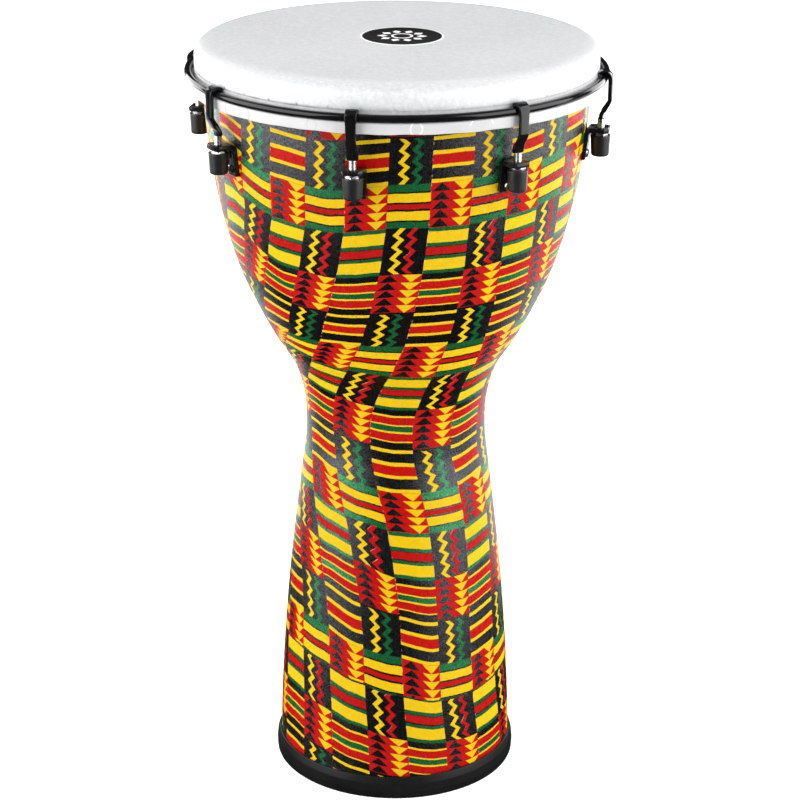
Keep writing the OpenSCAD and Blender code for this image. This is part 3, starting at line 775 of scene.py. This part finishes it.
# ---------------------------------------------------------------- head
def build_film():
    cx, cz = COLLAR_R - CROWN_IN, HEIGHT - CROWN_DROP

    def crown(a, b, n):
        out = []
        for k in range(n + 1):
            q = math.radians(90 * k / n)
            out.append((cx + a * max(0.0, math.sin(q)) ** 0.8, cz + b * max(0.0, math.cos(q)) ** 0.8))
        return out

    low = HOOP_Z - 0.0114
    segs = 720
    outer = [(0.0, HEIGHT)] + [(cx * k / 40, HEIGHT) for k in range(1, 41)]
    outer += crown(CROWN_IN, CROWN_DROP, 45)[1:]
    steps = 22
    for k in range(1, steps + 1):
        t = k / steps
        outer.append((COLLAR_R, cz + (HOOP_Z - 0.001 - cz) * t))
    outer.append((COLLAR_R + 0.0002, low))
    inner = [(COLLAR_R + 0.0002 - FILM_T, low), (COLLAR_R - FILM_T, HOOP_Z - 0.001)]
    inner += crown(CROWN_IN - FILM_T, CROWN_DROP - FILM_T, 24)[::-1] + [(0.0, HEIGHT - FILM_T)]
    ob = revolve("film_head", outer + inner, segs, closed=False)
    me = ob.data
    co = np.empty(len(me.vertices) * 3)
    me.vertices.foreach_get("co", co)
    co = co.reshape(-1, 3)
    r = np.hypot(co[:, 0], co[:, 1])
    a = np.degrees(np.arctan2(co[:, 1], co[:, 0]))
    # on the collar the film carries faint upright draws, stronger towards the hoop
    side = r > COLLAR_R - 0.0008
    t = np.clip((HEIGHT - 0.005 - co[:, 2]) / 0.0165, 0, 1) * side
    draw = (np.sin(np.radians(a) * 40 + 0.7) + 0.6 * np.sin(np.radians(a) * 67 + 2.1) + 0.5 * np.sin(np.radians(a) * 23))
    dr = 0.00007 * t * draw
    # small notches just above the counter hoop, every nine degrees
    d9 = ((a + 2.5) % 9.0) - 4.5
    notch = np.exp(-((d9 * 2.7) / 0.45) ** 2) * np.exp(-((co[:, 2] - (HOOP_Z + 0.0046)) / 0.0012) ** 2) * side
    crease = np.exp(-((co[:, 2] - (HOOP_Z + 0.0038)) / 0.0006) ** 2) * side
    dr -= 0.0005 * notch + 0.00022 * crease
    # painted shade: dark colour laid in the crease and its notches just above the counter hoop, unevenly round the head
    seen = a + 90 - VIEW_AZ
    here = np.interp((seen + 180) % 360 - 180, [-180, -90, -72, -20, -6, 12, 30, 62, 90, 180], [0.5, 0.6, 1, 0.85, 0.25, 0.2, 0.45, 0.5, 0.5, 0.5])
    here = here * (0.72 + 0.28 * np.sin(np.radians(seen) * 17 + 1.3) * np.sin(np.radians(seen) * 41))
    crease_shade = np.exp(-((co[:, 2] - (HOOP_Z + 0.0043)) / 0.00055) ** 2) * 0.95 * here
    notch_shade = 1.2 * np.exp(-((d9 * 2.7) / 0.75) ** 2) * np.exp(-((co[:, 2] - (HOOP_Z + 0.0050)) / 0.0012) ** 2) * here
    crease_shade = np.maximum(crease_shade, notch_shade) * side
    scale = np.where(r > 1e-6, (r + dr) / np.maximum(r, 1e-6), 1)
    co[:, 0] *= scale
    co[:, 1] *= scale
    me.vertices.foreach_set("co", co.reshape(-1))
    me.attributes.new("crease_shade", "FLOAT", "POINT").data.foreach_set("value", crease_shade)
    me.update()
    wear(ob, M_FILM)
    return ob


film = build_film()
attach(film, "hoop")
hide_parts("head_film")

# marks on the band: azimuth from the camera's side, half spacing, 1 for a raised line painted white as a painted
# highlight or -1 for a scored line painted dark as painted shade, and how far down it reaches, -1 being the band's foot
MARKS = [(-69, 2.4, -1, -1), (-46.5, 4.4, -1, -1), (-22.2, 0.9, -0.5, -1), (5.05, 1.1, 1, -1), (22.3, 2.7, 0.7, 0.1),
         (48.5, 1.6, -1, -1)]
MARKS += [(70 + 22.3 * k, (1.7, 2.6, 1.1, 3.2)[k % 4], (-1, 1)[k % 2], (-1, 0.1)[k % 3 == 1]) for k in range(10)]


def build_band():
    top = HOOP_Z - BAR_R - 0.00005
    low = HOOP_Z - 0.012
    segs = 1800
    face_z = np.linspace(low + 0.0007, top - 0.0007, 15)
    outline = [(COLLAR_R + 0.0004, top - 0.0003), (COLLAR_R + 0.0004, low + 0.0003), (COLLAR_R + 0.0008, low),
               (HOOP_R - 0.0011, low), (HOOP_R - 0.0006, low + 0.0002)]
    face = [(HOOP_R - 0.0002 + 0.0008 * (k / 14) ** 0.8, float(z)) for k, z in enumerate(face_z)]
    close = [(HOOP_R + 0.0003, top - 0.0001), (HOOP_R - 0.0002, top), (COLLAR_R + 0.0009, top)]
    ob = revolve("flesh_band", outline + face + close, segs)
    me = ob.data
    co = np.empty(len(me.vertices) * 3)
    me.vertices.foreach_get("co", co)
    co = co.reshape(-1, 3)
    r = np.hypot(co[:, 0], co[:, 1])
    a = np.degrees(np.arctan2(co[:, 1], co[:, 0])) + 90 - VIEW_AZ
    a = (a + 180) % 360 - 180
    face_zone = r > HOOP_R - 0.0009
    mark = np.zeros(len(co))
    mid, half = (low + top) / 2, (top - low) / 2
    h = np.clip((co[:, 2] - mid) / half, -1, 1)
    for centre, sep, sign, foot in MARKS:
        for side in (-1, 1):
            # an upright arc that bulges away from its twin
            line = centre + side * (sep + 0.75 * (1 - h * h) - 0.3)
            d = (a - line + 180) % 360 - 180
            line = np.exp(-((d * 2.82) / 0.40) ** 2) * np.clip((h - foot + 0.05) * 4, 0, 1)
            mark = np.where(line > np.abs(mark), sign * line, mark)
    mark *= face_zone
    wave = 0.00012 * np.sin(np.radians(a) * 31) + 0.0001 * np.sin(np.radians(a) * 13 + 1)
    lowzone = np.clip((low + 0.0018 - co[:, 2]) / 0.0018, 0, 1)
    co[:, 2] += np.maximum(wave, -0.0001) * lowzone * 1.6
    dr = 0.00026 * mark + wave * 0.5 * face_zone
    scale = (r + dr) / r
    co[:, 0] *= scale
    co[:, 1] *= scale
    me.vertices.foreach_set("co", co.reshape(-1))
    attr = me.attributes.new("mark", "FLOAT", "POINT")
    attr.data.foreach_set("value", mark)
    me.update()
    wear(ob, M_BAND)
    return ob


band = build_band()
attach(band, "hoop")
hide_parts("flesh_hoop")


def build_badge():
    lo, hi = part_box("head_badge")
    c = (lo + hi) / 2
    rad = (hi.x - lo.x) / 2
    zb = lo.z
    pts = [(0.0, zb + 0.00018), (rad * 0.5, zb + 0.00018), (rad - 0.00025, zb + 0.00018), (rad - 0.00005, zb + 0.00012),
           (rad, zb + 0.00002), (rad, zb + 0.00001), (0.0, zb + 0.00001)]
    ob = revolve("head_disc", pts, 160, closed=False)
    me = ob.data
    layer = me.uv_layers.new(name="disc")
    for l in me.loops:
        p = me.vertices[l.vertex_index].co
        layer.data[l.index].uv = (p.x / rad, p.y / rad)
    me.transform(Matrix.Translation((c.x, c.y, 0)))
    wear(ob, M_BADGE)
    return ob


badge = build_badge()
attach(badge, "hoop")
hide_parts("head_badge")


# ---------------------------------------------------------------- counter hoop, round bar with a dressed weld
def build_hoop():
    segs, ring = 540, 28
    weld = math.radians(-90 + VIEW_AZ + 150)
    verts, faces = [], []
    for i in range(segs):
        a = 2 * math.pi * i / segs
        d = (a - weld + math.pi) % (2 * math.pi) - math.pi
        swell = 0.00016 * math.exp(-((d * HOOP_R / 0.0022) ** 2)) - 0.0001 * math.exp(-((d * HOOP_R / 0.006) ** 2))
        for j in range(ring):
            b = 2 * math.pi * j / ring
            q = BAR_R - 0.00004 + swell * (1 if j % 2 else 0.8)
            verts.append(((HOOP_R + q * math.cos(b)) * math.cos(a), (HOOP_R + q * math.cos(b)) * math.sin(a), HOOP_Z + q * math.sin(b)))
    for i in range(segs):
        for j in range(ring):
            k, m = (i + 1) % segs, (j + 1) % ring
            faces.append((i * ring + j, k * ring + j, k * ring + m, i * ring + m))
    ob = new_object("round_hoop", verts, faces)
    tidy(ob)
    wear(ob, M_STEEL)
    return ob


hoop = build_hoop()
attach(hoop, "hoop")
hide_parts("counter_hoop")


# ---------------------------------------------------------------- hooks: flat bar, bent and cranked
def open_path(points, radii, n=7):
    """A polyline in (x, z) with its inside corners rounded."""
    out = [np.array(points[0], float)]
    for i in range(1, len(points) - 1):
        p = np.array(points[i], float)
        a = np.array(points[i - 1], float) - p
        b = np.array(points[i + 1], float) - p
        la, lb = np.linalg.norm(a), np.linalg.norm(b)
        a, b = a / la, b / lb
        half = math.acos(float(np.clip(a @ b, -1, 1))) / 2
        d = min(radii[i] / math.tan(half), la * 0.49, lb * 0.49)
        for k in range(n + 1):
            t = k / n
            out.append(p + a * d * (1 - t) ** 2 + b * d * t**2)
    out.append(np.array(points[-1], float))
    return out


def build_hook():
    cx = HOOP_R - ROD_POS
    t0 = 0.0032
    rm = BAR_R + 0.00015 + t0 / 2
    path = arc(cx, HOOP_Z, rm, 138, 0, 22)
    bend = HOOK_END + 0.014
    crank = open_path([(cx + rm, HOOP_Z - 0.001), (cx + rm, bend), (0.0, HOOK_END + 0.0032), (0.0, HOOK_END)],
                      [0, 0.0045, 0.004, 0], 8)
    path += [tuple(p) for p in crank]
    pts = [np.array(path[0])]
    for p in path[1:]:
        p = np.array(p)
        d = np.linalg.norm(p - pts[-1])
        if d < 1e-5:
            continue
        steps = max(1, int(d / 0.0009))
        for k in range(1, steps + 1):
            pts.append(pts[-1] + (p - pts[-1]) * (1 / (steps - k + 1)))
    pts = np.array(pts)
    n = len(pts)
    tan = np.gradient(pts, axis=0)
    tan /= np.linalg.norm(tan, axis=1)[:, None]
    nor = np.stack([tan[:, 1], -tan[:, 0]], -1)
    dist = np.concatenate([[0], np.cumsum(np.linalg.norm(np.diff(pts, axis=0), axis=1))])
    total = dist[-1]
    zz = pts[:, 1]
    outer = (pts[:, 0] > cx) & (zz < HOOP_Z)
    width = np.interp(zz, [HOOK_END, HOOK_END + 0.002, bend - 0.003, HOOP_Z - 0.004, HOOP_Z + 0.003],
                      [0.0056, 0.0060, 0.0078, 0.0078, 0.0094])
    thick = np.full(n, t0)
    grow = np.interp(zz, [HOOK_END, HOOK_END + 0.004, bend + 0.001], [1.0, 0.62, 0.0])
    thick = np.where(outer, t0 + (0.0052 - t0) * grow, thick)
    width = np.where(outer, width, 0.0090)
    width = np.minimum(width, 0.0094)
    width = np.convolve(np.pad(width, 3, mode="edge"), np.ones(7) / 7, mode="valid")
    # section: a rounded rectangle that turns nearly round at the rod
    verts, faces = [], []
    m = 24
    sect_n = None
    for i in range(n):
        w, t = width[i] / 2, thick[i] / 2
        rc = 0.00075 + (0.0018 * grow[i] if outer[i] else 0)
        ease = 1.0
        if i == 0:
            ease = 0.86
        if i == n - 1:
            ease = 0.93
        w, t = w * ease, t * ease
        rc = min(rc, w * 0.98, t * 0.98)
        sect = []
        for q, (sx, sy) in enumerate(((1, 1), (-1, 1), (-1, -1), (1, -1))):
            for k in range(m // 4):
                b = math.pi / 2 * (q + k / (m // 4 - 1))
                sect.append((sx * (w - rc) + rc * math.cos(b), sy * (t - rc) + rc * math.sin(b)))
        sect_n = len(sect)
        for y, o in sect:
            verts.append((pts[i][0] + nor[i][0] * o, y, pts[i][1] + nor[i][1] * o))
    for i in range(n - 1):
        for j in range(sect_n):
            k = (j + 1) % sect_n
            faces.append((i * sect_n + j, i * sect_n + k, (i + 1) * sect_n + k, (i + 1) * sect_n + j))
    faces.append(tuple(range(sect_n))[::-1])
    faces.append(tuple((n - 1) * sect_n + j for j in range(sect_n)))
    ob = new_object("hook_master", verts, faces)
    tidy(ob)
    sharpen(ob, 55)
    wear(ob, M_STEEL)
    return ob


for k, ob in zip(LUGS, lug_copies(build_hook(), "bar_hook")):
    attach(ob, "hoop")
    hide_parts(f"hook_{k}")


# ---------------------------------------------------------------- tension rods with a real helical thread
def build_rod():
    pitch, depth = 0.001, 0.00042
    segs, per = 30, 8
    z0, z1 = ROD_END, HOOK_END - 0.00002
    rows = int((z1 - z0) / pitch * per)
    verts, faces = [], []
    for i in range(rows + 1):
        z = z0 + (z1 - z0) * i / rows
        for j in range(segs):
            a = 2 * math.pi * j / segs
            f = (z / pitch - a / (2 * math.pi)) % 1.0
            v = abs(f - 0.5) * 2
            r = 0.00295 - depth * min(1.0, max(0.0, (v - 0.10) / 0.80))
            fade = min(1.0, (z - z0) / 0.0008)
            r = min(r, 0.00225 + 0.0007 * fade)
            up = min(1.0, (z1 - z) / 0.0012)
            r = r * up + 0.00272 * (1 - up)
            verts.append((r * math.cos(a), r * math.sin(a), z))
    for i in range(rows):
        for j in range(segs):
            k = (j + 1) % segs
            faces.append((i * segs + j, i * segs + k, (i + 1) * segs + k, (i + 1) * segs + j))
    faces.append(tuple(range(segs))[::-1])
    faces.append(tuple(rows * segs + j for j in range(segs)))
    ob = new_object("rod_master", verts, faces)
    tidy(ob)
    sharpen(ob, 60)
    wear(ob, M_PLATED)
    return ob


for k, ob in zip(LUGS, lug_copies(build_rod(), "threaded_rod")):
    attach(ob, "hoop")
    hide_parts(f"tension_rod_{k}")

# ---------------------------------------------------------------- brackets and nuts: the CAD's shapes with eased edges; then the caps, built from their own profile
for k in LUGS:
    ob = refined(f"bracket_{k}", f"cast_lug_{k}", 0.00055, 3, 30)
    wear(ob, M_CAST)
    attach(ob, "drum")
    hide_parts(f"bracket_{k}")
    ob = refined(f"tuning_nut_{k}", f"hex_nut_{k}", 0.00014, 2, 20)
    wear(ob, M_PLATED)
    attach(ob, f"nut_{k}")
    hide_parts(f"tuning_nut_{k}")


def build_cap():
    """Push-on cap: softened rim, drafted side, a faint parting line and a hexagonal socket."""
    r1, r0 = 0.0078, 0.0070
    socket = 0.0051  # half across flats
    segs = 96
    outer = rounded([(0.0, CAP_Z), (r0, CAP_Z), (r1, CAP_TOP), (r1 - 0.0012, CAP_TOP)], [0, 0.0019, 0.0006, 0], 8)
    side = []
    for k, (p, q) in enumerate(zip(outer, outer[1:])):
        steps = max(1, int(math.dist(p, q) / 0.0016))
        side += [(p[0] + (q[0] - p[0]) * i / steps, p[1] + (q[1] - p[1]) * i / steps) for i in range(steps)]
    side.append(outer[-1])
    verts, rows = [], []
    ang = [2 * math.pi * i / segs for i in range(segs)]

    def hexagon(a, scale=1.0):
        b = (a + math.pi / 6) % (math.pi / 3) - math.pi / 6
        # corners lie along the lug's radial line, as the nut's do
        b = (a % (math.pi / 3)) - math.pi / 6
        return min(socket * scale / math.cos(b), 0.00576)

    for r, z in side:
        if r < 1e-9:
            rows.append([len(verts)])
            verts.append((0, 0, z))
            continue
        rows.append(list(range(len(verts), len(verts) + segs)))
        for a in ang:
            line = 0.00006 * math.exp(-((math.sin(a) * r / 0.0003) ** 2)) if CAP_Z + 0.002 < z < CAP_TOP - 0.0006 else 0
            verts.append(((r + line) * math.cos(a), (r + line) * math.sin(a), z))
    for extra, z in ((1.04, CAP_TOP - 0.0002), (1.0, CAP_TOP - 0.0007), (1.0, CAP_Z + 0.0024), (0.97, CAP_Z + 0.0022)):
        rows.append(list(range(len(verts), len(verts) + segs)))
        verts += [(hexagon(a, extra) * math.cos(a), hexagon(a, extra) * math.sin(a), z) for a in ang]
    rows.append([len(verts)])
    verts.append((0, 0, CAP_Z + 0.0022))
    faces = []
    for a, b in zip(rows, rows[1:]):
        for i in range(segs):
            j = (i + 1) % segs
            if len(a) == 1:
                faces.append((a[0], b[j], b[i]))
            elif len(b) == 1:
                faces.append((a[i], a[j], b[0]))
            else:
                faces.append((a[i], a[j], b[j], b[i]))
    ob = new_object("cap_master", verts, faces)
    tidy(ob)
    sharpen(ob, 40)
    wear(ob, M_CAP)
    return ob


for k, ob in zip(LUGS, lug_copies(build_cap(), "push_cap")):
    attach(ob, f"cap_{k}")
    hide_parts(f"nut_cap_{k}")

# ---------------------------------------------------------------- CAD nodes that stay as they are
for node, mat in (("rod_washers", M_PLATED), ("dome_screws", M_PLATED), ("flat_screws", M_STEEL),
                  ("inner_washers", M_PLATED), ("inner_nuts", M_PLATED)):
    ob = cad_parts[node]
    if not ob.material_slots:
        ob.data.materials.append(mat)
    for s in ob.material_slots:
        s.material = mat
    ob.data.polygons.foreach_set("use_smooth", [True] * len(ob.data.polygons))
    ob.data.set_sharp_from_angle(angle=math.radians(35))

# ---------------------------------------------------------------- floor, light and camera
floor = new_object("studio_floor", [(-9, -9, 0), (9, -9, 0), (9, 9, 0), (-9, 9, 0)], [(0, 1, 2, 3)], False)
floor.location.z = -0.0002
fl = Nodes("studio_floor")
fc = fl.coords()
fl.set(base=fl.mix(fl.noise(fc, 2.0, 2.0), (0.90, 0.90, 0.90), (0.93, 0.93, 0.93)), rough=0.9, spec=0.0)
fl.p.inputs["Emission Color"].default_value = (1, 1, 1, 1)
# the floor stays white to the eye behind the softboxes, and the extra light falls on nothing
fx, fy, _ = fl.split(fc)
far = fl.span(fl.m("SQRT", fl.m("ADD", fl.m("MULTIPLY", fx, fx), fl.m("MULTIPLY", fy, fy))), 0.8, 1.5, 0.0, 0.75)
seen = fl.nt.nodes.new("ShaderNodeLightPath").outputs["Is Camera Ray"]
fl.nt.links.new(fl.m("MULTIPLY_ADD", far, seen, 0.45), fl.p.inputs["Emission Strength"])
wear(floor, fl.mat)
floor.visible_glossy = False

turn = Matrix.Rotation(math.radians(VIEW_AZ), 4, "Z")


def area(name, azimuth, distance, height, aim, size, power, colour=(1, 1, 1)):
    """A softbox; azimuth is in degrees from the camera's side, towards its right."""
    data = bpy.data.lights.new(name, "AREA")
    data.shape = "RECTANGLE"
    data.size, data.size_y = size
    data.energy = power
    data.color = colour
    ob = bpy.data.objects.new(name, data)
    scene.collection.objects.link(ob)
    a = math.radians(azimuth)
    pos = turn @ Vector((distance * math.sin(a), -distance * math.cos(a), height))
    ob.location = pos
    target = Vector((0, 0, aim)) if 0 <= aim < 5 else Vector((pos.x, pos.y, max(0.0, aim)))
    ob.rotation_euler = (target - pos).to_track_quat("-Z", "Y").to_euler()
    return ob


LIGHTS = [("soft_left", -71, 1.7, 1.05, 0.45, (2.2, 2.2), 82.0),
          ("soft_right", 71, 1.7, 1.05, 0.45, (2.2, 2.2), 82.0),
          ("rim_left", -136, 2.0, 0.7, 0.45, (1.0, 1.6), 24.0),
          ("rim_right", 136, 2.0, 0.7, 0.45, (1.0, 1.6), 24.0),
          ("soft_top", 180, 0.3, 2.3, 0.3, (2.6, 2.6), 6.0),
          ("soft_back", 180, 3.6, 3.0, -2.0, (5.0, 4.0), 70.0),
          ("sweep_bounce", 180, 1.7, 0.004, 9.0, (3.6, 2.6), 34.0),
          ("soft_front", 0, 1.3, 2.9, 0.3, (2.4, 1.4), 3.0)]
for item in LIGHTS:
    lamp = area(*item)
    lamp.visible_camera = False

world = bpy.data.worlds.new("studio")
scene.world = world
world.use_nodes = True
wn = world.node_tree
wn.nodes.clear()
w_out = wn.nodes.new("ShaderNodeOutputWorld")
w_mix = wn.nodes.new("ShaderNodeMixShader")
w_ray = wn.nodes.new("ShaderNodeLightPath")
w_room, w_wall = wn.nodes.new("ShaderNodeBackground"), wn.nodes.new("ShaderNodeBackground")
w_room.inputs[0].default_value, w_room.inputs[1].default_value = (1, 1, 1, 1), 0.025
w_wall.inputs[0].default_value, w_wall.inputs[1].default_value = (1, 1, 1, 1), 1.0
wn.links.new(w_ray.outputs["Is Camera Ray"], w_mix.inputs[0])
wn.links.new(w_room.outputs[0], w_mix.inputs[1])
wn.links.new(w_wall.outputs[0], w_mix.inputs[2])
wn.links.new(w_mix.outputs[0], w_out.inputs[0])

cam_data = bpy.data.cameras.new("camera")
cam_data.sensor_width = 36.0
cam_data.lens = 2441.4664 / 800 * 36
cam_data.clip_start = 0.05
cam = bpy.data.objects.new("camera", cam_data)
scene.collection.objects.link(cam)
place = turn @ Matrix.Translation((0.003371, -1.8605779, 1.0207476))
cam.matrix_world = place @ Matrix.Rotation(math.radians(90) - 0.3635, 4, "X") @ Matrix.Rotation(0.0042, 4, "Z")
scene.camera = cam

scene.view_settings.view_transform = "Standard"
scene.view_settings.look = "None"
scene.view_settings.exposure = 0.0
scene.view_settings.gamma = 1.0
